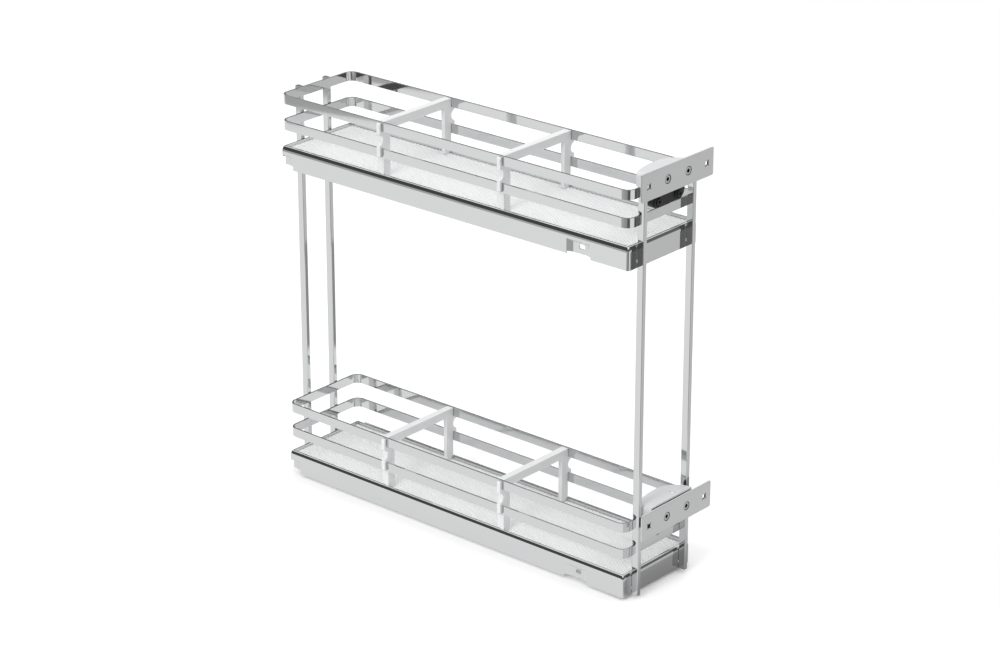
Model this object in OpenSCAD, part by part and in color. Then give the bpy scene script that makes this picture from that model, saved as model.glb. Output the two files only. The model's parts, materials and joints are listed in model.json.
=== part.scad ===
// Pull out larder unit for a 150 mm cabinet: two chromed trays with flat rails, welded to four
// posts, carried by a concealed full-extension runner under each tray, with an adjustable door
// bracket in front of each tray and sliding dividers on the rails.
//
// Modules are drawn about the unit's own centre plane: X runs across it, the door side is -Y,
// Z is up, y = 0 is the outside of the trays' front wall and z = 0 is the lower tray's bottom
// edge. The whole is then set with the middle of the lower runner's screw line, on the face
// that bears on the cabinet side, at the origin.

/* [Trays] */
// Width of a tray, outside its walls
tray_w = 108; // [104:0.5:112]
// Length of a tray, outside its walls
tray_l = 465; // [445:1:500]
// Height of a tray, from its bottom edge to the top of its rim
tray_h = 24; // [22:0.5:28]
// Thickness of the tray's sheet
sheet_t = 1; // [0.8:0.1:1.2]
// Outside radius of the tray's upright corners
tray_corner_r = 2.8; // [2.7:0.1:3.2]
// Radius of the rim's rolled outer side
rim_side_r = 9; // [8:0.5:9]
// Radius of the rim's upper edge
rim_edge_r = 1.2; // [1.1:0.05:1.25]
// Depth of the tray's floor below the top of the rim
floor_drop = 4; // [3.5:0.1:4.5]
// Thickness of the mat on the floor
mat_t = 1.2; // [0.8:0.1:2]
// Height between the two trays
tier_pitch = 350; // [300:5:420]

/* [Rails and posts] */
// Height of a flat rail
rail_h = 10; // [8:0.5:12]
// Thickness of a flat rail
rail_t = 2; // [1.5:0.1:2.5]
// Outside radius of a rail's corners
rail_corner_r = 10; // [6:0.5:14]
// Height from one rail's top edge to the next, and from the lower one to the rim
rail_pitch = 28.5; // [26:0.5:34]
// Depth of a post, front to back
post_d = 8; // [6:0.5:10]
// Thickness of a post, side to side
post_t = 5; // [4:0.5:6]
// Distance from a tray's side to the middle of the front post
front_post_inset = 15.5; // [14.5:0.5:17]
// Gap between the rear posts and the line of the runners
rear_post_gap = 2.6; // [2:0.1:4]

/* [Dividers] */
// Thickness of a divider's panel
divider_t = 4.5; // [3.5:0.1:6]
// Width of a divider's leg
leg_w = 10; // [8:0.5:14]
// Height of a divider's cross bar
bar_h = 9; // [7:0.5:12]
// Depth of the lip along the cross bar and the legs
lip_d = 8; // [6.5:0.5:10]
// Thickness of a clip outside the rails
clip_t = 2.7; // [2:0.1:2.8]
// Places of the front and the rear divider, from the front wall
divider_y = [161.5, 322.5];

/* [Door brackets] */
// Width of a door plate
plate_w = 112; // [104:1:118]
// Height of a door plate
plate_h = 29; // [26:0.5:34]
// Thickness of a door plate
plate_t = 2; // [1.5:0.1:2.5]
// Distance from the trays' front wall to the front face of the door plates
plate_reach = 20; // [19.5:0.5:24]
// Distance between the two door screw holes of a plate
door_hole_spacing = 90; // [84:1:96]
// Radius of a door screw hole
door_hole_r = 2.6; // [2.2:0.1:3]
// Distance between the two bolts of a plate
bolt_spacing = 32; // [30:0.5:32.5]
// Radius of a plate bolt's shank
bolt_r = 2; // [1.5:0.1:2.2]
// Width of the clamp body
clamp_w = 52; // [50:0.5:54]
// Thickness of the clamp body
clamp_d = 8; // [7:0.5:8]
// Depth of the clamp body below the top rail's upper edge
clamp_drop = 23; // [22:0.5:25]
// Height of the cover above the top rail's upper edge
cover_top = 17; // [16.5:0.5:19]
// Wall of the moulded cover
cover_t = 1.8; // [1.2:0.1:2]
// Sideways setting of the lower and the upper bracket
side_set = [5, -5];
// Height setting of the lower and the upper door plate, above the top rail's upper edge
lift_set = [0.5, 8.5];

/* [Runners] */
// Clearance between a tray and the cabinet side
side_clearance = 5; // [4:0.5:8]
// Distance from the runner's rear end to the outside of the rear wall
runner_end_gap = 7; // [6:0.5:9]
// Distance from the front wall's outside to the runner's front end
runner_y = 8; // [5:0.5:9]
// Width of a runner
runner_w = 24; // [23.5:0.1:24.5]
// Thickness of a runner's steel
steel_t = 1.2; // [1:0.1:1.3]
// Depth of the runner's base below the tray's bottom edge
base_drop = 3; // [2.5:0.1:4]
// Radius of a runner's balls
ball_r = 1.4; // [1.3:0.05:1.5]
// Balls in one row of a cage
balls_per_row = 5; // [3:1:8]
// Length of a ball cage
cage_l = 200; // [160:1:210]
// Height of the flange that is screwed to the cabinet side
flange_h = 24; // [20:0.5:26]
// Screws along the flange
screw_count = 3; // [2:1:4]
// Distance between two screws, a multiple of the 32 mm grid
screw_spacing = 192; // [96:32:192]
// Distance from the door's back face to the first screw
first_screw = 37; // [32:1:40]
// Radius of a screw hole in the flange
screw_hole_r = 2.3; // [2:0.1:2.8]

/* [Hidden] */
$fn = 48;

chrome = [0.82, 0.83, 0.84];
zinc = [0.72, 0.73, 0.74];
milky = [0.86, 0.87, 0.88];
mat_white = [0.90, 0.91, 0.92];
black_metal = [0.12, 0.12, 0.13];
eps = 0.01;
slide_gap = 0.15;   // between flat faces that slide on each other
run_gap = 0.3;      // between a moulding and the strip it slides on

// Heights within one tier, from the tray's bottom edge
floor_z = tray_h - floor_drop;
rim_w = tray_corner_r + sheet_t;

// The rolled side leans back to rim_lean, where the upper edge takes over
rim_lean = 35;
rim_h = rim_side_r * sin(rim_lean) + rim_edge_r * (1 - sin(rim_lean));
middle_rail_top = tray_h + rail_pitch;
top_rail_top = tray_h + 2 * rail_pitch;

// Front catch and rear hook places in the trays' side walls
notch_y = 47;       // front end of the notch behind the front wall
notch_l = 30;       // length of the notch
notch_h = 15.5;     // height of the notch, on the wall
joggle = 2;         // how far the catch tab is set inwards
tab_y0 = notch_y + 4.5;
tab_y1 = notch_y + 23;
tab_z0 = 2.5;
catch_y = notch_y + 12;
catch_z = 10.1;
catch_slot_l = 7.4;
catch_slot_h = 5;
catch_l = notch_l - 6;
rear_cut_z = 13;    // height of the openings in the rear wall that clear the runner
hook_joggle = 1.4;
hook_ramp = 2;
hook_tab_y1 = 5;    // rear hook tab, measured forwards from the rear wall
hook_tab_y0 = 12;
hook_tab_z = 4.5;
rear_step_y = 17;

// Runner section, about the middle of its balls
runner_x = tray_w / 2 - sheet_t - joggle - 1.4 - runner_w / 2;
runner_l = tray_l - runner_y - runner_end_gap;
front_post_x = tray_w / 2 - front_post_inset;
rear_post_x = runner_x - runner_w / 2 - rear_post_gap - post_t / 2;
rear_cut_x = rear_post_x + post_t / 2 + 1.4;
race_r = ball_r + 0.3;
race_x = runner_w / 2 - steel_t - race_r;      // outer row of balls
inner_race_x = race_x - 2 * race_r - 1.5;      // inner row of balls
ball_z = 5.5;
groove_h = 2.2;                                // half height of a grooved flange
mid_web_z = 0.9;
cage_t = 0.4;
cage_y = runner_y + runner_l / 2 - cage_l / 2 - 3;
wall_x = tray_w / 2 + side_clearance;
flange_t = 1.2;
screw_z = flange_h / 2 - base_drop;
screw_y0 = first_screw - plate_reach;
screw_mid_y = screw_y0 + (screw_count - 1) * screw_spacing / 2;

// Bracket section
cover_z = 3;                                   // bottom of the cover above the rail's top edge
cover_gap = 1.5;                               // between the cover and a front post
cover_left = front_post_x - post_t / 2 - cover_gap + max(side_set[0], 0);
cover_right = 27;
cover_bulge = 7;
cover_front = plate_reach - plate_t - 0.4;
clamp_top = cover_top - cover_t;
clamp_back_w = 44;
clamp_back_t = 2;
clamp_screw_r = 2;
clamp_screw_drop = 17;
nut_w = 7;
nut_t = 3;
cup_r = 6.3;
cup_pocket_r = 4.7;
cup_depth = 2.8;
spacer_r = 5.5;
head_r = 4;
head_h = 2.5;
hex_af = 4;

// Rounded rectangle about the origin, with true arcs
module round_rect(w, l, r) {
  square([w - 2 * r, l], center = true);
  square([w, l - 2 * r], center = true);
  for (x = [-1, 1], y = [-1, 1]) {
    translate([x * (w / 2 - r), y * (l / 2 - r)]) circle(r);
  }
}

// Upright prism of a rounded rectangle that starts at the front wall's plane
module round_block(w, l, r, z0, z1, inset = 0) {
  translate([0, tray_l / 2, z0])
    linear_extrude(z1 - z0) round_rect(w - 2 * inset, l - 2 * inset, r - inset);
}

// What rounds a square corner at the origin of the plane: the corner less a quarter disc
module corner_cut(r) {
  difference() {
    translate([-eps, -eps]) square(r + eps);
    translate([r, r]) circle(r);
  }
}

// Upright copies at the lower and the upper tier
module tier(i) {
  translate([0, 0, i * tier_pitch]) children();
}

module both_sides() {
  children();
  mirror([1, 0, 0]) children();
}

// Outline in X and Z, drawn out along Y from y0 to y1
module along_y(y0, y1) {
  translate([0, y1, 0]) rotate([90, 0, 0]) linear_extrude(y1 - y0) children();
}

// Outline in Y and Z, drawn out along X from x0 to x1
module along_x(x0, x1) {
  translate([x0, 0, 0]) rotate([90, 0, 90]) linear_extrude(x1 - x0) children();
}

// ---- Trays ----

// Block of the tray's inside plan, set in from its outside; r rounds its upright corners
module inner_block(inset, z0, z1, r) {
  translate([0, tray_l / 2, z0]) linear_extrude(z1 - z0) {
    if (r > 0) {
      round_rect(tray_w - 2 * inset, tray_l - 2 * inset, r);
    } else {
      square([tray_w - 2 * inset, tray_l - 2 * inset], center = true);
    }
  }
}

// Outline inside the wall and its rolled rim, set in by d, from the middle of the upright
// corners and the tray's bottom edge
module wall_outline(d) {
  side_x = tray_corner_r - rim_side_r;
  side_z = tray_h - rim_h;
  edge_x = side_x + (rim_side_r - rim_edge_r) * cos(rim_lean);
  edge_z = side_z + (rim_side_r - rim_edge_r) * sin(rim_lean);
  translate([0, -d]) square([tray_corner_r - d, side_z + d]);
  intersection() {
    translate([side_x, side_z]) circle(rim_side_r - d, $fn = 144);
    translate([0, side_z - 2])
      square([tray_corner_r, edge_z - side_z + 2 + (rim_edge_r - d) * sin(rim_lean)]);
  }
  intersection() {
    translate([edge_x, edge_z]) circle(rim_edge_r - d);
    square([tray_corner_r, tray_h]);
  }
  square([edge_x, tray_h - d]);
}

module wall_section() {
  difference() {
    wall_outline(0);
    wall_outline(sheet_t);
  }
}

// The walls, swept round the tray: four straight lengths and four turned corners
module walls() {
  x = tray_w / 2 - tray_corner_r;
  y = tray_l / 2 - tray_corner_r;
  translate([0, tray_l / 2, 0]) {
    for (side = [0, 1]) {
      mirror([side, 0, 0]) {
        translate([x, y, 0]) rotate([90, 0, 0]) linear_extrude(2 * y) wall_section();
        for (end = [0, 1]) {
          mirror([0, end, 0]) translate([x, y, 0]) rotate_extrude(angle = 90) wall_section();
        }
      }
      mirror([0, side, 0])
        translate([-x, y, 0]) rotate([90, 0, 90]) linear_extrude(2 * x) wall_section();
    }
  }
}

// The rim's inner side and the floor that carries the mat, pressed in one
module rim_and_floor() {
  inner_r = 0.8;
  overlap = 0.1;
  difference() {
    inner_block(tray_corner_r - overlap, floor_z - sheet_t, tray_h, 0);
    inner_block(rim_w, floor_z, tray_h + 1, inner_r);
  }
}

// How far a ramp that is l long and depth deep has come at x below the face, set off by d
function ramp(l, depth, x, d) = (x * l - d * sqrt(l * l + depth * depth)) / depth;

// Recess pressed into the right side wall. y gives where its front ramp starts and ends, and its
// rear ramp the same; top is its upper edge on the wall. With d = 0 it is the hollow outside,
// with d = sheet_t the swelling inside.
module pressed(y, depth, top, d) {
  face = tray_w / 2;
  inner = depth + d;
  outer = d > 0 ? sheet_t / 2 : -1;
  lift = d * sqrt(2);
  front_l = y[1] - y[0];
  rear_l = y[3] - y[2];
  intersection() {
    linear_extrude(tray_h) polygon([
      [face - outer, y[0] + ramp(front_l, depth, outer, d)],
      [face - inner, y[0] + ramp(front_l, depth, inner, d)],
      [face - inner, y[3] - ramp(rear_l, depth, inner, d)],
      [face - outer, y[3] - ramp(rear_l, depth, outer, d)]
    ]);
    along_y(0, tray_l) polygon([
      [face - inner - 1, -1], [face + 2, -1], [face + 2, top + 2 + lift],
      [face - inner - 1, top - inner - 1 + lift]
    ]);
  }
}

module catch_recess(d) {
  pressed([notch_y, tab_y0, tab_y1, notch_y + notch_l], joggle, notch_h, d);
}

module hook_recess(d) {
  y0 = tray_l - hook_tab_y0;
  y1 = tray_l - hook_tab_y1;
  pressed([y0 - hook_ramp, y0, y1 + 0.5, y1 + 1.9], hook_joggle, rear_cut_z + 1.4, d);
}

// Space below the catch's tab, and the slot that the catch snaps into
module catch_openings() {
  face = tray_w / 2;
  translate([face - 2 * joggle - sheet_t, notch_y, -1])
    cube([2 * joggle + sheet_t + 2, notch_l, tab_z0 + 1]);
  along_x(face - 2 * joggle - sheet_t, face + 1)
    translate([catch_y, catch_z]) oblong(catch_slot_l, catch_slot_h);
}

// Slot outline about the origin, long side along the first axis
module oblong(l, h) {
  square([l - h, h], center = true);
  for (s = [-1, 1]) {
    translate([s * (l - h) / 2, 0]) circle(h / 2);
  }
}

// Lower rear corner: the walls are cut away to clear the runner, with a tab for its hook
module rear_clearance() {
  y = tray_l;
  low = tray_w / 2 - 3;
  along_x(low, tray_w / 2 + 3) {
    translate([y - hook_tab_y1, -1]) square([hook_tab_y1 + 2, rear_cut_z + 1]);
    translate([y - rear_step_y, -1]) square([rear_step_y, hook_tab_z + 1]);
    translate([y, rear_cut_z]) mirror([1, 0]) corner_cut(4);
  }
  translate([rear_cut_x, y - 2 * sheet_t, -1])
    cube([tray_w / 2 - rear_cut_x + 2, 3 * sheet_t, rear_cut_z + 1]);
}

module tray() {
  color(chrome) difference() {
    union() {
      walls();
      rim_and_floor();
      both_sides() {
        catch_recess(sheet_t);
        hook_recess(sheet_t);
      }
    }
    both_sides() {
      catch_recess(0);
      hook_recess(0);
      catch_openings();
      rear_clearance();
    }
  }
}

module mat() {
  color(mat_white) inner_block(rim_w + 0.3, floor_z, floor_z + mat_t, 1);
}

// ---- Rails and posts ----

module rail(top) {
  color(chrome) difference() {
    round_block(tray_w, tray_l, rail_corner_r, top - rail_h, top);
    round_block(tray_w, tray_l, rail_corner_r, top - rail_h - 1, top + 1, rail_t);
  }
}

// A post, welded to the outside of the walls and rails at one end of the unit
module post(x, y) {
  color(chrome) translate([x, y, 0])
    linear_extrude(tier_pitch + top_rail_top) round_rect(post_t, post_d, 0.8);
}

// ---- Dividers ----

// Half of a divider's outline at the side x > 0: leg, half of the cross bar and the clips
module divider_half(foot_z) {
  leg_x = tray_w / 2 - rail_t - run_gap;
  clip_x = tray_w / 2 + run_gap;
  rail_low = top_rail_top - rail_h;
  neck_z0 = middle_rail_top + run_gap;
  neck_z1 = rail_low - run_gap;
  neck_r = (neck_z1 - neck_z0) / 2 - 4;
  difference() {
    union() {
      translate([leg_x - leg_w, foot_z]) square([leg_w, top_rail_top - 0.5 - foot_z]);
      translate([0, top_rail_top - 0.5 - bar_h]) square([leg_x, bar_h]);
      translate([leg_x - leg_w - 3, top_rail_top - 0.5 - bar_h - 3]) square([3 + eps, 3 + eps]);
      translate([leg_x - eps, neck_z0]) square([clip_x + clip_t - leg_x, neck_z1 - neck_z0]);
      translate([clip_x, neck_z0 + eps - rail_h + 1]) square([clip_t, rail_h]);
      translate([clip_x, neck_z1 - eps]) square([clip_t, rail_h - 1]);
    }
    translate([leg_x - leg_w - 3, top_rail_top - 0.5 - bar_h - 3]) circle(3);
    translate([clip_x + clip_t + 1.2, (neck_z0 + neck_z1) / 2]) circle(neck_r + 1.2);
    translate([clip_x + clip_t, neck_z1 + rail_h - 1]) mirror([1, 1]) corner_cut(1.5);
    translate([clip_x + clip_t, neck_z0 - rail_h + 1]) mirror([1, 0]) corner_cut(1.5);
    translate([tray_w / 2 - rim_w - run_gap, foot_z - 1])
      square([rim_w + 3, tray_h - foot_z + 1 + run_gap]);
  }
}

// The lip that stiffens the top of the cross bar and the outer edge of each leg
module divider_lip_half() {
  leg_x = tray_w / 2 - rail_t - run_gap;
  top = top_rail_top - 0.5;
  translate([0, top - 1.5]) square([leg_x, 1.5]);
  translate([leg_x - 2, tray_h + 2]) square([2, top - tray_h - 2]);
}

module divider(y) {
  foot_z = floor_z + mat_t + run_gap;
  color(milky) both_sides() {
    along_y(y - divider_t / 2, y + divider_t / 2) divider_half(foot_z);
    along_y(y - divider_t / 2, y - divider_t / 2 + lip_d) divider_lip_half();
  }
}

// ---- Door brackets: each is drawn about its own middle, with z = 0 at the rail's top edge ----

module bracket(i) {
  translate([side_set[i], 0, i * tier_pitch + top_rail_top]) children();
}

module clamp_outline() {
  low_r = 9;
  high_r = 3;
  w = clamp_w / 2;
  difference() {
    translate([-w, -clamp_drop]) square([clamp_w, clamp_drop + clamp_top]);
    for (s = [0, 1]) {
      mirror([s, 0]) {
        translate([-w, -clamp_drop]) corner_cut(low_r);
        translate([-w, clamp_top]) mirror([0, 1]) corner_cut(high_r);
      }
    }
  }
}

// T slot that lets a plate bolt and its captive nut be set up or down
module bolt_slot() {
  low = min(lift_set[0], lift_set[1]);
  high = max(lift_set[0], lift_set[1]);
  front_w = 2 * bolt_r + 0.6;
  nut_gap = nut_w + 0.6;
  along_y(-clamp_d - 1, -nut_t - 1) translate([-front_w / 2, low - front_w / 2])
    square([front_w, high - low + front_w]);
  along_y(-nut_t - 1.6, 1) translate([-nut_gap / 2, low - nut_gap / 2])
    square([nut_gap, high - low + nut_gap]);
}

// Body that grips the top rail's front strip and hooks over its upper edge
module clamp_body() {
  rib_w = 18;
  color(black_metal) difference() {
    union() {
      along_y(-clamp_d - slide_gap, -slide_gap) clamp_outline();
      translate([-rib_w / 2, -slide_gap - eps, slide_gap])
        cube([rib_w, rail_t + 3 * slide_gap + clamp_back_t, 2]);
    }
    for (s = [-1, 1]) {
      translate([s * bolt_spacing / 2, 0, 0]) bolt_slot();
      translate([s * bolt_spacing / 2, 1, -clamp_screw_drop]) rotate([90, 0, 0])
        cylinder(r = clamp_screw_r + 0.2, h = clamp_d + 3);
    }
  }
}

// Plate behind the strip that the clamp screws draw forwards
module clamp_back() {
  y0 = rail_t + slide_gap;
  color(black_metal) difference() {
    along_y(y0, y0 + clamp_back_t) translate([0, -clamp_drop / 2 - 0.15])
      round_rect(clamp_back_w, clamp_drop - 0.3, 4);
    for (s = [-1, 1]) {
      translate([s * bolt_spacing / 2, y0 - 1, -clamp_screw_drop]) rotate([-90, 0, 0])
        cylinder(r = clamp_screw_r + 0.05, h = clamp_back_t + 2);
    }
  }
}

module clamp_screws() {
  front = -clamp_d - slide_gap;
  back = rail_t + slide_gap + clamp_back_t + 0.8;
  color(zinc) for (s = [-1, 1]) {
    translate([s * bolt_spacing / 2, front, -clamp_screw_drop]) difference() {
      union() {
        rotate([90, 0, 0]) cylinder(r = 3.7, h = 1.6);
        translate([0, -1.6 + eps, 0]) rotate([90, 0, 0]) cylinder(r1 = 3.7, r2 = 2.8, h = 0.8);
        rotate([-90, 0, 0]) cylinder(r = clamp_screw_r, h = back - front);
      }
      translate([0, -1, 0]) rotate([90, 0, 0]) cylinder(r = 1.6, h = 3, $fn = 6);
    }
  }
}

// Plan of the cover: a flat left end, a shallow bulge at the back and a round right end
module cover_plan(inset) {
  reach = cover_front;
  bulge_r = (cover_left * cover_left + cover_bulge * cover_bulge) / (2 * cover_bulge);
  right_y = cover_bulge - cover_right;
  intersection() {
    translate([-cover_left + inset, -reach]) square([cover_left - inset, reach + cover_bulge]);
    translate([0, cover_bulge - bulge_r]) circle(bulge_r - inset, $fn = 200);
  }
  intersection() {
    translate([-eps, -reach]) square([cover_right, reach + cover_bulge]);
    translate([0, right_y]) circle(cover_right - inset, $fn = 96);
  }
}

module bracket_cover() {
  end_r = 5;
  color(milky) difference() {
    translate([0, 0, cover_z]) linear_extrude(cover_top - cover_z) cover_plan(0);
    translate([0, 0, cover_z - 1]) linear_extrude(cover_top - cover_t - cover_z + 1)
      cover_plan(cover_t);
    translate([-clamp_w / 2 - slide_gap, -clamp_d - 2 * slide_gap, cover_z - 1])
      cube([clamp_w + 2 * slide_gap, clamp_d + 2 * slide_gap, clamp_top - cover_z + 1]);
    translate([-cover_left, 0, cover_top]) rotate([90, 0, 0])
      translate([0, 0, -cover_bulge - 1]) linear_extrude(cover_front + cover_bulge + 2)
        mirror([0, 1]) corner_cut(end_r);
    translate([-cover_left + cover_t, -cover_front - 1, cover_z - 1])
      cube([cover_left + cover_right, 1 + eps, clamp_top - cover_z + 1]);
    translate([4, -11, cover_top - 0.6]) cylinder(r = 3.2, h = 2);
  }
}

// Round hole with four short relief cuts, so that a screw bites at once
module door_hole() {
  along_y(-plate_reach - 1, -plate_reach + plate_t + 1) {
    circle(door_hole_r);
    for (a = [45, 135]) {
      rotate(a) square([2 * door_hole_r + 3.2, 0.9], center = true);
    }
  }
}

module door_plate(i) {
  front = -plate_reach;
  back = front + plate_t;
  floor_y = front + cup_depth;
  color(zinc) translate([0, 0, lift_set[i]]) difference() {
    union() {
      along_y(front, back) round_rect(plate_w, plate_h, 2);
      for (s = [-1, 1]) {
        translate([s * bolt_spacing / 2, back - eps, 0]) rotate([-90, 0, 0])
          cylinder(r = cup_r, h = floor_y + 1.2 - back);
      }
    }
    for (s = [-1, 1]) {
      translate([s * bolt_spacing / 2, front - 1, 0]) rotate([-90, 0, 0])
        cylinder(r = cup_pocket_r, h = cup_depth + 1);
      translate([s * bolt_spacing / 2, front - 1, 0]) rotate([-90, 0, 0])
        cylinder(r = bolt_r + 0.2, h = cup_depth + 4);
      translate([s * door_hole_spacing / 2, 0, 0]) door_hole();
    }
  }
}

module plate_spacers(i) {
  y0 = -plate_reach + cup_depth + 1.2;
  y1 = -clamp_d - 2 * slide_gap;
  color(zinc) for (s = [-1, 1]) {
    translate([s * bolt_spacing / 2, y0, lift_set[i]]) rotate([-90, 0, 0]) difference() {
      cylinder(r = spacer_r, h = y1 - y0);
      translate([0, 0, -1]) cylinder(r = bolt_r + 0.2, h = y1 - y0 + 2);
    }
  }
}

module plate_bolts(i) {
  seat = -plate_reach + cup_depth;
  color(black_metal) for (s = [-1, 1]) {
    translate([s * bolt_spacing / 2, seat, lift_set[i]]) difference() {
      union() {
        rotate([90, 0, 0]) cylinder(r = head_r, h = head_h);
        rotate([-90, 0, 0]) cylinder(r = bolt_r, h = -0.8 - seat);
      }
      translate([0, -0.6, 0]) rotate([90, 0, 0])
        cylinder(r = hex_af / sqrt(3), h = head_h + 1, $fn = 6);
    }
  }
}

module plate_nuts(i) {
  color(zinc) for (s = [-1, 1]) {
    translate([s * bolt_spacing / 2, -nut_t - 1.2, lift_set[i]]) rotate([-90, 0, 0]) difference() {
      translate([0, 0, nut_t / 2]) cube([nut_w, nut_w, nut_t], center = true);
      translate([0, 0, -1]) cylinder(r = bolt_r + 0.05, h = nut_t + 2);
    }
  }
}

// ---- Runners: each is drawn about the middle of its section ----

module runner_place(i) {
  translate([runner_x, 0, i * tier_pitch]) children();
}

// Half of the ball track that turns round the outer side of a row of balls
module track_half() {
  intersection() {
    difference() {
      translate([race_x, ball_z]) circle(race_r + steel_t);
      translate([race_x, ball_z]) circle(race_r);
    }
    translate([race_x, ball_z - race_r - 2 * steel_t])
      square([race_r + 2 * steel_t, 2 * race_r + 4 * steel_t]);
  }
}

module cabinet_section() {
  w = runner_w / 2;
  leg = wall_x - runner_x;
  translate([-w, -base_drop]) square([w + leg, steel_t]);
  for (s = [0, 1]) {
    mirror([s, 0]) {
      translate([w - steel_t, -base_drop]) square([steel_t, ball_z + base_drop]);
      track_half();
    }
  }
  translate([leg - flange_t, -base_drop]) square([flange_t, flange_h]);
}

module cabinet_runner() {
  leg = wall_x - runner_x;
  color(zinc) difference() {
    along_y(runner_y, runner_y + runner_l) cabinet_section();
    for (k = [0 : screw_count - 1]) {
      translate([leg - flange_t - 1, screw_y0 + k * screw_spacing, screw_z]) rotate([0, 90, 0])
        cylinder(r = screw_hole_r, h = flange_t + 2);
    }
  }
}

module middle_section() {
  inner = inner_race_x + 0.8;
  outer = race_x - 0.9;
  difference() {
    translate([-outer, mid_web_z]) square([2 * outer, ball_z + groove_h - mid_web_z]);
    translate([-inner, mid_web_z + steel_t]) square([2 * inner, ball_z + groove_h]);
    for (s = [-1, 1]) {
      translate([s * race_x, ball_z]) circle(race_r);
      translate([s * inner_race_x, ball_z]) circle(race_r);
    }
  }
}

module middle_runner() {
  color(zinc) along_y(runner_y, runner_y + runner_l) middle_section();
}

module tray_section() {
  outer = inner_race_x - 0.9;
  stem = inner_race_x - race_r - steel_t;
  top = floor_z - sheet_t;
  difference() {
    union() {
      translate([-outer, ball_z - groove_h]) square([2 * outer, steel_t]);
      for (s = [0, 1]) {
        mirror([s, 0]) {
          translate([stem, ball_z - groove_h]) square([outer - stem, 2 * groove_h]);
          translate([stem, ball_z]) square([steel_t, top - ball_z]);
          translate([runner_w / 2 - steel_t, top - 3]) square([steel_t, 3]);
        }
      }
      translate([-runner_w / 2, top - steel_t]) square([runner_w, steel_t]);
    }
    for (s = [-1, 1]) {
      translate([s * inner_race_x, ball_z]) circle(race_r);
    }
  }
}

// Moving runner: it bears under the tray's floor, with a hook behind the tray's rear tab
module tray_runner() {
  top = floor_z - sheet_t;
  hook_x = tray_w / 2 - hook_joggle - sheet_t - 0.1 - runner_x;
  hook_z = ball_z + race_r + steel_t + 0.6;
  color(zinc) difference() {
    union() {
      along_y(runner_y, runner_y + runner_l) tray_section();
      translate([runner_w / 2 - eps, tray_l - hook_tab_y0 + 1, hook_z])
        cube([hook_x - runner_w / 2 + eps, 5, top - hook_z]);
      translate([runner_w / 2 - steel_t, tray_l - hook_tab_y0 + 1, hook_z])
        cube([steel_t, runner_y + runner_l - tray_l + hook_tab_y0 - 1, top - hook_z]);
    }
    translate([runner_w / 2 - steel_t - eps, catch_y - catch_l / 2 - 1, top - 4])
      cube([steel_t + 1, catch_l + 2, 4 - steel_t]);
  }
}

// Ball cage: a thin channel with two rows of balls in their windows
module ball_cage(x, side_x, web_z) {
  pitch = cage_l / balls_per_row;
  top = ball_z + race_r - 0.3;
  color(zinc) {
    difference() {
      along_y(cage_y, cage_y + cage_l) {
        translate([-side_x - cage_t, web_z]) square([2 * (side_x + cage_t), cage_t]);
        for (s = [0, 1]) {
          mirror([s, 0]) translate([side_x, web_z]) square([cage_t, top - web_z]);
        }
      }
      for (k = [0 : balls_per_row - 1]) {
        translate([-side_x - 2, cage_y + (k + 0.5) * pitch, ball_z]) rotate([0, 90, 0])
          cylinder(r = ball_r + 0.1, h = 2 * side_x + 4);
      }
    }
    for (k = [0 : balls_per_row - 1], s = [-1, 1]) {
      translate([s * x, cage_y + (k + 0.5) * pitch, ball_z]) sphere(ball_r);
    }
  }
}

module outer_cage() {
  ball_cage(race_x, race_x - 0.6, -0.9);
}

module inner_cage() {
  ball_cage(inner_race_x, inner_race_x - cage_t / 2, mid_web_z + steel_t + 0.4);
}

// Sprung catch: a nose through the slot of the tray's tab, moved inwards to lift the tray off
module catch() {
  face = tray_w / 2 - joggle - sheet_t - runner_x;
  low = ball_z + race_r + steel_t + 0.5;
  top = floor_z - sheet_t - steel_t - 0.3;
  nose_l = catch_slot_l - 1.2;
  nose_h = 2 * (catch_z - low);
  color(black_metal) {
    difference() {
      translate([face - 6.8, catch_y - catch_l / 2, low]) cube([6.5, catch_l, top - low]);
      translate([face - 7.8, catch_y + 4, low - 1]) cube([4.5, 6, top - low + 2]);
    }
    translate([face - 0.4, catch_y - nose_l / 2, catch_z - nose_h / 2])
      cube([joggle + sheet_t + 0.2, nose_l, nose_h]);
  }
}

// ---- Placing ----

// Puts the middle of the lower runner's screw line, on its cabinet face, at the origin
module at_cabinet_side() {
  translate([-wall_x, -screw_mid_y, -screw_z]) children();
}

front_post_y = -post_d / 2;
rear_post_y = tray_l + post_d / 2;

at_cabinet_side() tier(0) tray();  // lower_tray
at_cabinet_side() tier(1) tray();  // upper_tray
at_cabinet_side() tier(0) mat();  // lower_mat
at_cabinet_side() tier(1) mat();  // upper_mat
at_cabinet_side() tier(0) rail(middle_rail_top);  // lower_middle_rail
at_cabinet_side() tier(0) rail(top_rail_top);  // lower_top_rail
at_cabinet_side() tier(1) rail(middle_rail_top);  // upper_middle_rail
at_cabinet_side() tier(1) rail(top_rail_top);  // upper_top_rail
at_cabinet_side() post(-front_post_x, front_post_y);  // front_left_post
at_cabinet_side() post(front_post_x, front_post_y);  // front_right_post
at_cabinet_side() post(-rear_post_x, rear_post_y);  // rear_left_post
at_cabinet_side() post(rear_post_x, rear_post_y);  // rear_right_post
at_cabinet_side() tier(0) divider(divider_y[0]);  // lower_front_divider
at_cabinet_side() tier(0) divider(divider_y[1]);  // lower_rear_divider
at_cabinet_side() tier(1) divider(divider_y[0]);  // upper_front_divider
at_cabinet_side() tier(1) divider(divider_y[1]);  // upper_rear_divider
at_cabinet_side() bracket(0) clamp_body();  // lower_clamp_body
at_cabinet_side() bracket(1) clamp_body();  // upper_clamp_body
at_cabinet_side() bracket(0) clamp_back();  // lower_clamp_back
at_cabinet_side() bracket(1) clamp_back();  // upper_clamp_back
at_cabinet_side() bracket(0) clamp_screws();  // lower_clamp_screws
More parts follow.
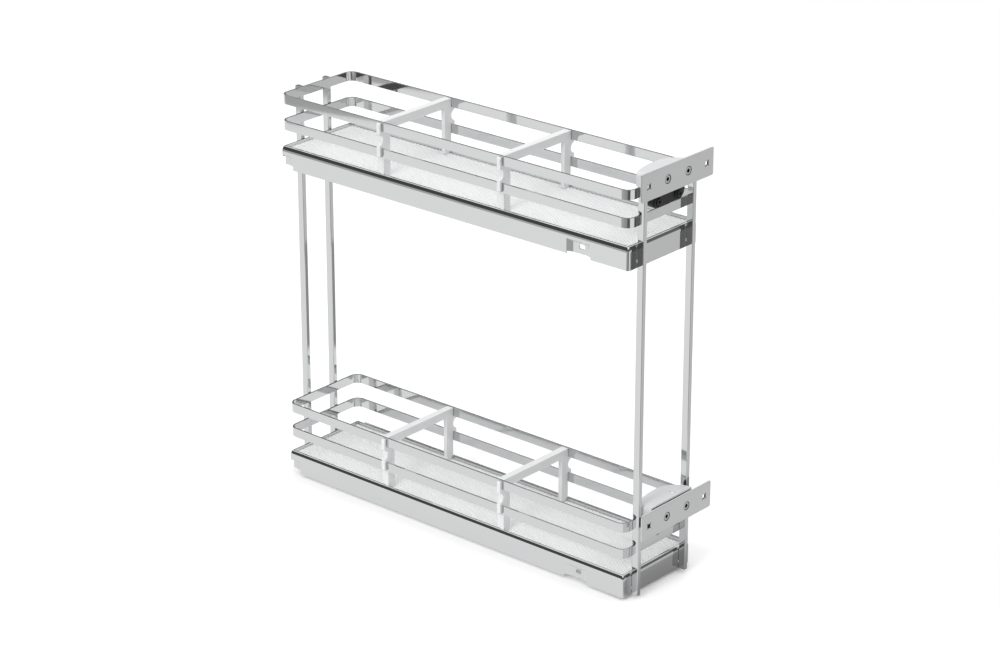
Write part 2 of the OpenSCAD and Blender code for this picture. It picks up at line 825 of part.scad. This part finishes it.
at_cabinet_side() bracket(1) clamp_screws();  // upper_clamp_screws
at_cabinet_side() bracket(0) bracket_cover();  // lower_bracket_cover
at_cabinet_side() bracket(1) bracket_cover();  // upper_bracket_cover
at_cabinet_side() bracket(0) door_plate(0);  // lower_door_plate
at_cabinet_side() bracket(1) door_plate(1);  // upper_door_plate
at_cabinet_side() bracket(0) plate_spacers(0);  // lower_plate_spacers
at_cabinet_side() bracket(1) plate_spacers(1);  // upper_plate_spacers
at_cabinet_side() bracket(0) plate_bolts(0);  // lower_plate_bolts
at_cabinet_side() bracket(1) plate_bolts(1);  // upper_plate_bolts
at_cabinet_side() bracket(0) plate_nuts(0);  // lower_plate_nuts
at_cabinet_side() bracket(1) plate_nuts(1);  // upper_plate_nuts
at_cabinet_side() runner_place(0) cabinet_runner();  // lower_cabinet_runner
at_cabinet_side() runner_place(1) cabinet_runner();  // upper_cabinet_runner
at_cabinet_side() runner_place(0) middle_runner();  // lower_middle_runner
at_cabinet_side() runner_place(1) middle_runner();  // upper_middle_runner
at_cabinet_side() runner_place(0) tray_runner();  // lower_tray_runner
at_cabinet_side() runner_place(1) tray_runner();  // upper_tray_runner
at_cabinet_side() runner_place(0) outer_cage();  // lower_outer_cage
at_cabinet_side() runner_place(1) outer_cage();  // upper_outer_cage
at_cabinet_side() runner_place(0) inner_cage();  // lower_inner_cage
at_cabinet_side() runner_place(1) inner_cage();  // upper_inner_cage
at_cabinet_side() runner_place(0) catch();  // lower_catch
at_cabinet_side() runner_place(1) catch();  // upper_catch
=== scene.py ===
import json
import math

import bmesh
import bpy
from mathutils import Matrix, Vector


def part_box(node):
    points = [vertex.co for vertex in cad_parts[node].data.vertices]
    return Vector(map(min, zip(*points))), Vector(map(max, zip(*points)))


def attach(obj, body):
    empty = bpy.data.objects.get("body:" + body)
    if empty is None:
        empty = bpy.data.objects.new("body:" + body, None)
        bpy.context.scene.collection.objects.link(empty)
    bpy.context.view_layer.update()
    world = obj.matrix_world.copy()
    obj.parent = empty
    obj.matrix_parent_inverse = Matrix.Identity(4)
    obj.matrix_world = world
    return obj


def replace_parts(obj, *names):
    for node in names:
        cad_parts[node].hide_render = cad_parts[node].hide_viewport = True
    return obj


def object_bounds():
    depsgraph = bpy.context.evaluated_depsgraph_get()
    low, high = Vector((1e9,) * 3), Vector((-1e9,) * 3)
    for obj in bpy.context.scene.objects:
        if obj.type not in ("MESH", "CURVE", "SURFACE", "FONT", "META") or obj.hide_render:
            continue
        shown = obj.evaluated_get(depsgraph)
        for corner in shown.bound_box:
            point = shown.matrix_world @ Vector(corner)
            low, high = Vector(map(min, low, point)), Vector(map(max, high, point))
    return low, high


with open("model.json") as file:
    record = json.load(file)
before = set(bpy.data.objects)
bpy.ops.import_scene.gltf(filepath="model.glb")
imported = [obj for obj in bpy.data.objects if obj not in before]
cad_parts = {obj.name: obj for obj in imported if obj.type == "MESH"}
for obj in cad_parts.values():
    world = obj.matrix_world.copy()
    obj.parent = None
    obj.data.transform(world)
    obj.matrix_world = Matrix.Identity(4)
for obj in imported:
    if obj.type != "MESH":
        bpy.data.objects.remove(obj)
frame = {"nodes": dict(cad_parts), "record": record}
cad_low, cad_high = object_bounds()
NODES = frame["nodes"]
SLOT_OF = {p["node"]: p["material_slot"] for p in frame["record"]["subparts"]}
BODY_OF = {n: b for b, members in frame["record"]["behaviour"]["bodies"].items() for n in members}
MM = 0.001
TIERS = ("lower", "upper")


# ---- Shader nodes ----------------------------------------------------------------------------

def new_material(name):
    """A material with its node tree and its surface node."""
    mat = bpy.data.materials.new(name)
    mat.use_nodes = True
    tree = mat.node_tree
    return mat, tree, tree.nodes["Principled BSDF"]


def add(tree, kind, **values):
    """A new node. Values go to the inputs of that name, or else to the node's own settings."""
    node = tree.nodes.new(kind)
    for key, value in values.items():
        if key in node.inputs:
            node.inputs[key].default_value = value
        else:
            setattr(node, key, value)
    return node


def feed(tree, socket, value):
    """Gives an input a number or colour, or another node's output."""
    if isinstance(value, bpy.types.NodeSocket):
        tree.links.new(value, socket)
    else:
        socket.default_value = value


def calculate(tree, operation, *values):
    """The result of one sum."""
    node = add(tree, "ShaderNodeMath", operation=operation)
    for socket, value in zip(node.inputs, values):
        feed(tree, socket, value)
    return node.outputs[0]


def along(tree, place, direction):
    """How far a place lies along a level direction."""
    node = add(tree, "ShaderNodeVectorMath", operation="DOT_PRODUCT")
    node.inputs[1].default_value = (*direction, 0)
    tree.links.new(place, node.inputs[0])
    return node.outputs["Value"]


def fade(tree, value, start, end, at_start=0.0, at_end=1.0):
    """A smooth change from at_start to at_end while the value goes from start to end."""
    node = add(tree, "ShaderNodeMapRange", interpolation_type="SMOOTHSTEP")
    for name, number in (("From Min", start), ("From Max", end),
                         ("To Min", at_start), ("To Max", at_end)):
        node.inputs[name].default_value = number
    tree.links.new(value, node.inputs["Value"])
    return node.outputs["Result"]


def blend(tree, share, first, second):
    """A colour between two, nearer to the second as the share rises."""
    node = add(tree, "ShaderNodeMix", data_type="RGBA")
    for index, value in ((0, share), (6, first), (7, second)):
        feed(tree, node.inputs[index], value)
    return node.outputs[2]


def blend_shaders(tree, share, first, second):
    """A shader between two, nearer to the second as the share rises."""
    node = add(tree, "ShaderNodeMixShader")
    for socket, value in zip(node.inputs, (share, first.outputs[0], second.outputs[0])):
        feed(tree, socket, value)
    return node.outputs[0]


# ---- Materials -------------------------------------------------------------------------------

# Size in metres of the patches in which every finish changes its tone
PATCH = 1 / 14


def surface(name, colour, metallic, roughness, spread, grain, bump, depth,
            stretch=(1, 1, 1), tone=0.02, wave=None):
    """A finish whose colour, roughness and relief vary.

    grain is the size of the fine pattern and depth its relief, both in millimetres, and stretch
    draws it out along an axis. spread is the change in roughness and tone the change in colour.
    wave is the length and height of a slow ripple, in millimetres."""
    mat, tree, bsdf = new_material(name)
    link = tree.links.new
    place = add(tree, "ShaderNodeTexCoord").outputs["Object"]
    scale = add(tree, "ShaderNodeMapping", Scale=tuple(s / (grain * MM) for s in stretch))
    link(place, scale.inputs["Vector"])
    fine = add(tree, "ShaderNodeTexNoise", Scale=1.0, Detail=4.0, Roughness=0.6)
    link(scale.outputs["Vector"], fine.inputs["Vector"])
    broad = add(tree, "ShaderNodeTexNoise", Scale=1 / PATCH, Detail=2.0, Roughness=0.5)
    link(place, broad.inputs["Vector"])

    rough = add(tree, "ShaderNodeMapRange")
    rough.inputs["To Min"].default_value = roughness - spread
    rough.inputs["To Max"].default_value = roughness + spread
    link(fine.outputs["Fac"], rough.inputs["Value"])
    link(rough.outputs["Result"], bsdf.inputs["Roughness"])

    dark = [c * (1 - tone) for c in colour] + [1]
    pale = [min(1, c * (1 + tone)) for c in colour] + [1]
    link(blend(tree, broad.outputs["Fac"], dark, pale), bsdf.inputs["Base Color"])

    relief = add(tree, "ShaderNodeBump", Strength=bump, Distance=depth * MM)
    link(fine.outputs["Fac"], relief.inputs["Height"])
    if wave:
        length, height = wave
        slow = add(tree, "ShaderNodeTexNoise", Scale=1 / (length * MM), Detail=1.0)
        link(place, slow.inputs["Vector"])
        ripple = add(tree, "ShaderNodeBump", Strength=1.0, Distance=height * MM)
        link(slow.outputs["Fac"], ripple.inputs["Height"])
        link(relief.outputs["Normal"], ripple.inputs["Normal"])
        relief = ripple
    link(relief.outputs["Normal"], bsdf.inputs["Normal"])
    bsdf.inputs["Metallic"].default_value = metallic
    return mat


FINISH = {
    "chrome": surface(
        "bright_chrome", (0.66, 0.665, 0.67), metallic=1.0, roughness=0.06, spread=0.02,
        grain=4, bump=0.05, depth=0.02, tone=0.01, wave=(50, 0.06)),
    "mat": surface(
        "white_mat", (0.85, 0.855, 0.86), metallic=0.0, roughness=0.62, spread=0.08,
        grain=1.2, bump=0.12, depth=0.03),
    "milky_plastic": surface(
        "milky_moulding", (0.82, 0.825, 0.83), metallic=0.0, roughness=0.38, spread=0.06,
        grain=0.9, bump=0.15, depth=0.03, tone=0.015),
    "satin_steel": surface(
        "satin_plate", (0.74, 0.745, 0.75), metallic=1.0, roughness=0.34, spread=0.07,
        grain=0.6, bump=0.25, depth=0.03, stretch=(0.15, 1, 1), tone=0.03),
    "zinc_steel": surface(
        "zinc_plate", (0.60, 0.605, 0.615), metallic=1.0, roughness=0.27, spread=0.07,
        grain=1.2, bump=0.2, depth=0.03, tone=0.04),
    "bearing_steel": surface(
        "bearing_steel", (0.62, 0.62, 0.63), metallic=1.0, roughness=0.16, spread=0.05,
        grain=2, bump=0.1, depth=0.02, tone=0.03),
    "black_zinc": surface(
        "black_zinc", (0.035, 0.035, 0.038), metallic=0.7, roughness=0.36, spread=0.08,
        grain=0.9, bump=0.35, depth=0.05, tone=0.15),
    "black_plastic": surface(
        "black_moulding", (0.03, 0.03, 0.032), metallic=0.0, roughness=0.45, spread=0.06,
        grain=0.9, bump=0.25, depth=0.04, tone=0.1),
}
# The bracket covers are a darker milky plastic than the dividers
COVER = surface(
    "cover_moulding", (0.66, 0.67, 0.68), metallic=0.0, roughness=0.36, spread=0.06,
    grain=0.9, bump=0.15, depth=0.03, tone=0.015)


# ---- Dressing --------------------------------------------------------------------------------

# Vertices nearer than this are one, and faces that differ by less than this angle are one
WELD_REACH = 2e-6
FLAT_ANGLE = math.radians(0.5)
# How far the shading of a rounded edge follows the faces beside it: 50 is even, 100 the most
LARGE_FACE_WEIGHT = 80


def link_object(name, data):
    """A new object in the scene."""
    piece = bpy.data.objects.new(name, data)
    bpy.context.scene.collection.objects.link(piece)
    return piece


def finish_mesh(bm, name, slot, body, smooth=40):
    """Turns a bmesh into a piece with a finish, smooth except over edges sharper than smooth."""
    mesh = bpy.data.meshes.new(name)
    bmesh.ops.recalc_face_normals(bm, faces=bm.faces)
    for face in bm.faces:
        face.smooth = True
    limit = math.radians(smooth)
    for edge in bm.edges:
        if len(edge.link_faces) != 2 or edge.calc_face_angle(0) > limit:
            edge.smooth = False
    bm.to_mesh(mesh)
    bm.free()
    piece = link_object(name, mesh)
    mesh.materials.append(FINISH[slot])
    even = piece.modifiers.new("even", "WEIGHTED_NORMAL")
    even.weight = LARGE_FACE_WEIGHT
    even.keep_sharp = True
    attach(piece, body)
    return piece


def from_node(node):
    """The node's mesh, welded, with its flat faces made whole again."""
    bm = bmesh.new()
    bm.from_mesh(NODES[node].data)
    bmesh.ops.remove_doubles(bm, verts=bm.verts, dist=WELD_REACH)
    bmesh.ops.dissolve_limit(bm, angle_limit=FLAT_ANGLE, verts=bm.verts, edges=bm.edges,
                             use_dissolve_boundaries=False)
    return bm


def dress(node, width, sharp=30, segments=2, where=None, shade_faces=None, finish=None):
    """A copy of a node in its place, with the edges sharper than sharp degrees rounded by width.

    where picks the edges, inside picks faces that get painted shade in black, and finish is used
    instead of the finish that the node's slot gives."""
    bm = from_node(node)
    limit = math.radians(sharp)
    edges = [e for e in bm.edges if len(e.link_faces) == 2 and e.calc_face_angle(0) > limit
             and (where is None or where(e))]
    bmesh.ops.bevel(bm, geom=edges, offset=width, offset_type="OFFSET", segments=segments,
                    profile=0.5, affect="EDGES", clamp_overlap=True)
    if shade_faces:
        bm.normal_update()
        for face in bm.faces:
            face.material_index = int(shade_faces(face))
    piece = finish_mesh(bm, node + "_shown", SLOT_OF[node], BODY_OF[node])
    if shade_faces:
        # Painted shade: the picked faces take the black zinc finish
        piece.data.materials.append(FINISH["black_zinc"])
    if finish:
        piece.data.materials[0] = finish
    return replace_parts(piece, node)


def add_ball(bm, middle, radii, around, rings):
    """A ball with its three radii in millimetres, and with this many faces around it and from
    its top to its foot."""
    def corner(i, k):
        tilt, turn = math.pi * i / rings, 2 * math.pi * k / around
        way = (math.sin(tilt) * math.sin(turn), math.sin(tilt) * math.cos(turn), math.cos(tilt))
        return bm.verts.new([m + w * r * MM for m, w, r in zip(middle, way, radii)])

    top, foot = corner(0, 0), corner(rings, 0)
    rows = [[corner(i, k) for k in range(around)] for i in range(1, rings)]
    for k in range(around):
        j = (k + 1) % around
        bm.faces.new((top, rows[0][k], rows[0][j]))
        for a, b in zip(rows, rows[1:]):
            bm.faces.new((a[k], b[k], b[j], a[j]))
        bm.faces.new((foot, rows[-1][j], rows[-1][k]))


def turn_ring(bm, middle, profile, steps=40):
    """Turns a closed profile of (radius, distance forwards) pairs, in millimetres, about a line
    that points forwards."""
    rows = []
    for k in range(steps):
        a = 2 * math.pi * k / steps
        rows.append([bm.verts.new(middle + Vector((r * math.cos(a), -f, r * math.sin(a))) * MM)
                     for r, f in profile])
    for k in range(steps):
        one, two = rows[k], rows[(k + 1) % steps]
        for i in range(len(profile)):
            j = (i + 1) % len(profile)
            bm.faces.new((one[i], one[j], two[j], two[i]))


def screw_axes(node):
    """Middle of each of a node's two screws, which point forwards, at the height of both."""
    low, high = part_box(node)
    r = (high.z - low.z) / 2
    return [Vector((x, low.y, (low.z + high.z) / 2)) for x in (low.x + r, high.x - r)]


def off_axis(point, axes):
    """Distance of a point from the nearest of some axes that point forwards."""
    return min(math.hypot(point.x - axis.x, point.z - axis.z) for axis in axes)


# ---- Door brackets ---------------------------------------------------------------------------

# The plate: how far in from its outline its edges and its rounded corners lie, how far the round
# of its edge reaches, and how thick its front skin and its sheet are
PLATE_EDGE = 0.05 * MM
PLATE_CORNER = 2.1 * MM
PLATE_ROUND = 0.8 * MM
PLATE_SKIN = 0.2 * MM
PLATE_SHEET = 2.4 * MM
# Faces farther in from the outline than PLATE_MARGIN that look forwards by less than WALL_TILT
# are the walls of holes, which get painted shade
PLATE_MARGIN = 2 * MM
WALL_TILT = 0.3
# Radius of a cup's pocket with its round, and of a socket in a bolt's head, within which faces get
# painted shade
CUP_REACH = 4.9 * MM
SOCKET_REACH = 2.6 * MM
BOLT_ROUND = 0.3 * MM
# Faces deeper behind a head's front than this are in its socket, and get painted shade
HEAD_SKIN = 0.35 * MM
# How far a cover's edges are rounded. Those nearer to its front than COVER_FRONT stay sharp,
# because the plate meets them.
COVER_ROUND = 1.0 * MM
COVER_FRONT = 0.1 * MM
# Section of the ring round a clamp screw: (radius, distance in front of the clamp)
BOSS = ((4.3, -0.4), (4.3, 1.0), (4.7, 1.4), (5.6, 1.4), (6.2, 0.9), (6.6, -0.4))
# The nib in a cover's dimple: its radii, and its middle from the middle of the plate's front at
# the height of the cover's top
NIB_RADII = (2.1, 2.1, 1.7)
NIB_PLACE = Vector((4, 9, -0.8)) * MM


def dress_plate(tier):
    """The door plate, with painted shade in black on its bolt pockets and hole walls."""
    node = tier + "_door_plate"
    low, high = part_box(node)
    axes = screw_axes(tier + "_plate_bolts")

    def insets(point):
        """Distances from the plate's outline, sideways and upwards."""
        return (min(point.x - low.x, high.x - point.x), min(point.z - low.z, high.z - point.z))

    def in_outline(edge):
        return all(min(insets(v.co)) < PLATE_EDGE or max(insets(v.co)) < PLATE_CORNER
                   for v in edge.verts)

    # Faces in the bolt pockets and on the hole walls get painted shade
    def gets_painted_shade(face):
        centre = face.calc_center_median()
        if off_axis(centre, axes) < CUP_REACH:
            return centre.y > low.y + PLATE_SKIN
        return (min(insets(centre)) > PLATE_MARGIN and abs(face.normal.y) < WALL_TILT
                and centre.y < low.y + PLATE_SHEET)

    dress(node, PLATE_ROUND, sharp=80, segments=3, where=in_outline, shade_faces=gets_painted_shade)


def dress_bolts(tier):
    """The plate bolts, with painted shade in black in their sockets."""
    node = tier + "_plate_bolts"
    axes = screw_axes(node)
    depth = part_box(node)[0].y + HEAD_SKIN

    # Faces in a socket get painted shade
    def gets_painted_shade(face):
        centre = face.calc_center_median()
        return centre.y > depth and off_axis(centre, axes) < SOCKET_REACH

    dress(node, BOLT_ROUND, shade_faces=gets_painted_shade)


def dress_cover(node):
    """A bracket cover, rounded except where it meets the plate."""
    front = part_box(node)[0].y + COVER_FRONT

    def is_behind(edge):
        return max(v.co.y for v in edge.verts) > front

    dress(node, COVER_ROUND, where=is_behind, finish=COVER)


def clamp_bosses(tier):
    """Raised rings round the clamp screws."""
    clamp = tier + "_clamp_body"
    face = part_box(clamp)[0].y
    bm = bmesh.new()
    for axis in screw_axes(tier + "_clamp_screws"):
        turn_ring(bm, Vector((axis.x, face, axis.z)), BOSS)
    finish_mesh(bm, tier + "_clamp_bosses", "black_zinc", BODY_OF[clamp], smooth=50)


def cover_nib(tier):
    """Small moulded nib in the dimple of the bracket cover."""
    cover = tier + "_bracket_cover"
    plate_low, plate_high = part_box(tier + "_door_plate")
    corner = Vector(((plate_low.x + plate_high.x) / 2, plate_low.y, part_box(cover)[1].z))
    bm = bmesh.new()
    add_ball(bm, corner + NIB_PLACE, NIB_RADII, 24, 16)
    finish_mesh(bm, tier + "_cover_nib", "milky_plastic", BODY_OF[cover])


# ---- Trays -----------------------------------------------------------------------------------

# The ribs slant by RIB_TURN from the tray's length, and have RIB_STEPS strips each. A higher
# RIB_POWER makes their grooves narrower.
RIB_PITCH = 2.9 * MM
RIB_RELIEF = 0.4 * MM
RIB_TURN = math.radians(35)
RIB_STEPS = 6
RIB_POWER = 1.5
# Weld beads: height over the tray's foot, and radii
BEAD_HEIGHT = 7 * MM
BEAD_RADII = (1.1, 1.0, 1.6)


def ribbed_mat(tier):
    """The mat as one closed mesh, with slanting ribs across it."""
    node = tier + "_mat"
    low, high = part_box(node)
    middle = (low + high) / 2
    half = (high - low) / 2
    line = Vector((-math.sin(RIB_TURN), -math.cos(RIB_TURN)))
    across = Vector((line.y, -line.x))
    reach = abs(across.x) * half.x + abs(across.y) * half.y
    step = RIB_PITCH / RIB_STEPS
    bm = bmesh.new()
    rows = []
    for k in range(-int(reach / step), int(reach / step) + 1):
        start = across * (k * step)
        # Where this line enters and leaves the mat's outline
        spans = [sorted(((-half[i] - start[i]) / line[i], (half[i] - start[i]) / line[i]))
                 for i in (0, 1)]
        t0, t1 = max(s[0] for s in spans), min(s[1] for s in spans)
        if t1 <= t0:
            continue
        dip = 0.5 - 0.5 * math.cos(2 * math.pi * k / RIB_STEPS)
        z = high.z - RIB_RELIEF * dip ** RIB_POWER
        ends = [start + line * t for t in (t0, t1)]
        rows.append([bm.verts.new((middle.x + e.x, middle.y + e.y, z)) for e in ends])
    for a, b in zip(rows, rows[1:]):
        bm.faces.new((a[0], a[1], b[1], b[0]))
    rim = [r[0] for r in rows] + [r[1] for r in reversed(rows)]
    foot = [bm.verts.new((v.co.x, v.co.y, low.z)) for v in rim]
    for i, v in enumerate(rim):
        j = (i + 1) % len(rim)
        bm.faces.new((v, rim[j], foot[j], foot[i]))
    bm.faces.new(foot)
    piece = finish_mesh(bm, node + "_ribbed", SLOT_OF[node], BODY_OF[node], smooth=60)
    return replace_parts(piece, node)


def weld_beads():
    """Small beads where the posts are welded to the trays' walls."""
    bm = bmesh.new()
    for end in ("front", "rear"):
        for side in ("left", "right"):
            low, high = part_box(end + "_" + side + "_post")
            y = high.y if end == "front" else low.y
            for tier in TIERS:
                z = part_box(tier + "_tray")[0].z + BEAD_HEIGHT
                for x in (low.x, high.x):
                    add_ball(bm, (x, y, z), BEAD_RADII, 14, 9)
    finish_mesh(bm, "weld_beads", "chrome", BODY_OF["front_left_post"])


# ---- The whole unit --------------------------------------------------------------------------

# How far the edges of each kind of piece are rounded, in millimetres
ROUNDED = {
    "rail": 0.2, "post": 0.4, "divider": 0.5, "clamp_body": 0.5, "clamp_back": 0.4,
    "clamp_screws": 0.2, "plate_nuts": 0.3, "plate_spacers": 0.25,
}
# Kinds of node that each tier's functions dress
OWN = ("_mat", "_door_plate", "_plate_bolts")

for name in sorted(NODES):
    width = next((w for kind, w in ROUNDED.items() if name.endswith(kind)), None)
    if width:
        dress(name, width * MM)
    elif name.endswith("_bracket_cover"):
        dress_cover(name)
    elif not name.endswith(OWN):
        NODES[name].data.materials.clear()
        NODES[name].data.materials.append(FINISH[SLOT_OF[name]])
for tier in TIERS:
    ribbed_mat(tier)
    dress_plate(tier)
    dress_bolts(tier)
    clamp_bosses(tier)
    cover_nib(tier)
weld_beads()


# ---- Studio ----------------------------------------------------------------------------------

# Away from the camera and to its left, along the floor
BACK = (0.742, 0.670)
LEFT = (-0.670, 0.742)
# The room's grey by share of a turn from +X: below the horizon beyond the floor, and above it
BELOW = [(0.0, 0.64), (0.30, 0.40), (0.42, 0.52), (0.59, 0.36), (0.615, 0.12), (0.675, 0.12),
         (0.695, 0.95), (0.82, 0.95), (0.84, 0.15), (0.855, 0.15), (0.875, 0.68), (1.0, 0.64)]
BAND = [(0.0, 0.16), (0.11, 0.17), (0.22, 0.15), (0.33, 0.07), (0.46, 0.08), (0.60, 0.12),
        (0.80, 0.16), (1.0, 0.16)]
# Where the one turns into the other, and where the band turns into the white overhead, by the
# upward part of the direction
HORIZON = (-0.06, 0.04)
OVERHEAD = (0.38, 0.54)
# On this side the overhead begins higher, by HIGHER
HIGH_SIDE = (-0.35, 0.94)
HIGH_SIDE_EDGES = (0.2, 0.6)
HIGHER = 0.14
# The backdrop: its two sides and its top
BACKDROP_SIDES = (0.45, 0.65)
BACKDROP_TOP = (0.31, 0.25)
ROOM_WHITE = (1.25, 1.25, 1.25, 1)

# How far the floor goes: behind, towards the camera, to its left and to its right
FLOOR = (6.0, -0.5, 1.505, -0.45)
FLOOR_GAP = 0.5 * MM
PAPER = (0.93, 0.93, 0.93, 1)
# Light that the paper adds for the camera alone
PAPER_LIFT = 0.14
# Of the floor that metal mirrors this share has a set tone: the paper's, and near the unit a
# painted shade
PLAIN_SHARE = 0.85
PLAIN_PAPER = (0.97, 0.97, 0.97, 1)
# Painted shade on the floor that metal mirrors, darkest at the unit's foot: where its grey starts
# and stops changing, in front of the trays, and both greys
FOOT_SHADE = (0.015, 0.075, 0.24, 0.64)
# Where the painted shade fades into plain paper, to the left of the lower tray's corner
FOOT_SHADE_CORNER = (-0.02, 0.005)

LAMP_PLACE = (-2.3, -0.3, 1.35)
LAMP_AIM = Vector((2.25, 0.3, -1.1))
LAMP_SIZE = 0.8
LAMP_POWER = 27

CAMERA_PLACE = (-2.2166, -1.8627, 1.3764)
CAMERA_AZIMUTH = math.radians(-49.2)
CAMERA_ELEVATION = math.radians(21.4)
LENS = 108
SHIFT_UP = -0.05


def material_of_floor():
    """Pale paper that shows the object's shadow, and is plain for metal that mirrors it.

    In front of the unit metal mirrors painted shade on the paper, darkest at the unit's foot."""
    mat, tree, bsdf = new_material("paper_floor")
    bsdf.inputs["Base Color"].default_value = PAPER
    bsdf.inputs["Roughness"].default_value = 0.9
    bsdf.inputs["Specular IOR Level"].default_value = 0.1
    bsdf.inputs["Emission Color"].default_value = (1, 1, 1, 1)
    rays = add(tree, "ShaderNodeLightPath")
    lift = calculate(tree, "MULTIPLY", rays.outputs["Is Camera Ray"], PAPER_LIFT)
    feed(tree, bsdf.inputs["Emission Strength"], lift)

    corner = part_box("lower_tray")[0]
    place = add(tree, "ShaderNodeTexCoord").outputs["Object"]
    split = add(tree, "ShaderNodeSeparateXYZ")
    feed(tree, split.inputs[0], place)
    # Painted shade for metal that mirrors the paper: darker nearer the lower tray's front
    forward = calculate(tree, "SUBTRACT", corner.y, split.outputs["Y"])
    foot_shade = fade(tree, forward, *FOOT_SHADE)
    edge = corner.x * LEFT[0] + corner.y * LEFT[1]
    beside = fade(tree, along(tree, place, LEFT), *(edge + c for c in FOOT_SHADE_CORNER))
    plain = add(tree, "ShaderNodeEmission")
    feed(tree, plain.inputs["Color"], blend(tree, beside, foot_shade, PLAIN_PAPER))
    share = calculate(tree, "MULTIPLY", rays.outputs["Is Glossy Ray"], PLAIN_SHARE)
    feed(tree, tree.nodes["Material Output"].inputs["Surface"],
         blend_shaders(tree, share, bsdf, plain))
    return mat


def floor():
    """The paper under the unit."""
    low_z = cad_low.z - FLOOR_GAP
    bm = bmesh.new()
    back, left = Vector((*BACK, 0)), Vector((*LEFT, 0))
    behind, near, leftmost, rightmost = FLOOR
    for b, l in ((behind, leftmost), (behind, rightmost), (near, rightmost), (near, leftmost)):
        bm.verts.new(back * b + left * l + Vector((0, 0, low_z)))
    bm.faces.new(bm.verts)
    mesh = bpy.data.meshes.new("floor")
    bm.to_mesh(mesh)
    bm.free()
    mesh.materials.append(material_of_floor())
    link_object("floor", mesh)


def ramp(tree, share, stops):
    """A smooth grey ramp from (place, level) stops."""
    node = add(tree, "ShaderNodeValToRGB")
    node.color_ramp.interpolation = "EASE"
    points = node.color_ramp.elements
    while len(points) < len(stops):
        points.new(1.0)
    for point, (place, level) in zip(points, stops):
        point.position = place
        point.color = (level, level, level, 1)
    feed(tree, node.inputs["Fac"], share)
    return node.outputs["Color"]


def studio_world():
    """A white room over a darker band, with screens and gaps round the floor. The camera itself
    sees plain white."""
    world = bpy.data.worlds.new("studio")
    bpy.context.scene.world = world
    world.use_nodes = True
    tree = world.node_tree
    tree.nodes.clear()
    place = add(tree, "ShaderNodeTexCoord").outputs["Generated"]
    split = add(tree, "ShaderNodeSeparateXYZ")
    feed(tree, split.inputs[0], place)
    up = split.outputs["Z"]

    # Turn round the upright axis from +X, as a share of a whole turn
    angle = calculate(tree, "ARCTAN2", split.outputs["Y"], split.outputs["X"])
    turn = calculate(tree, "MULTIPLY_ADD", angle, 1 / (2 * math.pi), 1.0)
    share = calculate(tree, "FRACT", turn)
    room = blend(tree, fade(tree, up, *HORIZON), ramp(tree, share, BELOW), ramp(tree, share, BAND))

    lowered = fade(tree, along(tree, place, HIGH_SIDE), *HIGH_SIDE_EDGES, at_end=-HIGHER)
    overhead = fade(tree, calculate(tree, "ADD", up, lowered), *OVERHEAD)
    # The backdrop is white up to where the room's darker band begins
    backdrop = calculate(tree, "MULTIPLY", fade(tree, along(tree, place, BACK), *BACKDROP_SIDES),
                         fade(tree, up, *BACKDROP_TOP))
    white = calculate(tree, "MAXIMUM", overhead, backdrop)

    rays = add(tree, "ShaderNodeLightPath")
    seen = add(tree, "ShaderNodeBackground", Color=(1, 1, 1, 1))
    mirrored = add(tree, "ShaderNodeBackground")
    feed(tree, mirrored.inputs["Color"], blend(tree, white, room, ROOM_WHITE))
    out = add(tree, "ShaderNodeOutputWorld")
    feed(tree, out.inputs["Surface"],
         blend_shaders(tree, rays.outputs["Is Camera Ray"], mirrored, seen))


def aim(piece, place, direction):
    """Puts a lamp or a camera at a place, looking in a direction."""
    piece.location = place
    piece.rotation_mode = "QUATERNION"
    piece.rotation_quaternion = direction.to_track_quat("-Z", "Y")


def side_lamp():
    """A broad soft lamp at the left, above the trays."""
    data = bpy.data.lights.new("side_lamp", "AREA")
    data.shape = "SQUARE"
    data.size = LAMP_SIZE
    data.energy = LAMP_POWER
    lamp = link_object("side_lamp", data)
    aim(lamp, LAMP_PLACE, LAMP_AIM)
    lamp.visible_camera = False
    lamp.visible_glossy = False


def camera():
    """The photograph's view."""
    back = Vector((math.sin(CAMERA_AZIMUTH) * math.cos(CAMERA_ELEVATION),
                   -math.cos(CAMERA_AZIMUTH) * math.cos(CAMERA_ELEVATION),
                   math.sin(CAMERA_ELEVATION)))
    data = bpy.data.cameras.new("camera")
    data.sensor_width = 36
    data.lens = LENS
    data.shift_y = SHIFT_UP
    data.clip_start, data.clip_end = 0.1, 50
    cam = link_object("camera", data)
    aim(cam, CAMERA_PLACE, -back)
    bpy.context.scene.camera = cam


floor()
studio_world()
side_lamp()
camera()
bpy.context.scene.view_settings.view_transform = "Standard"
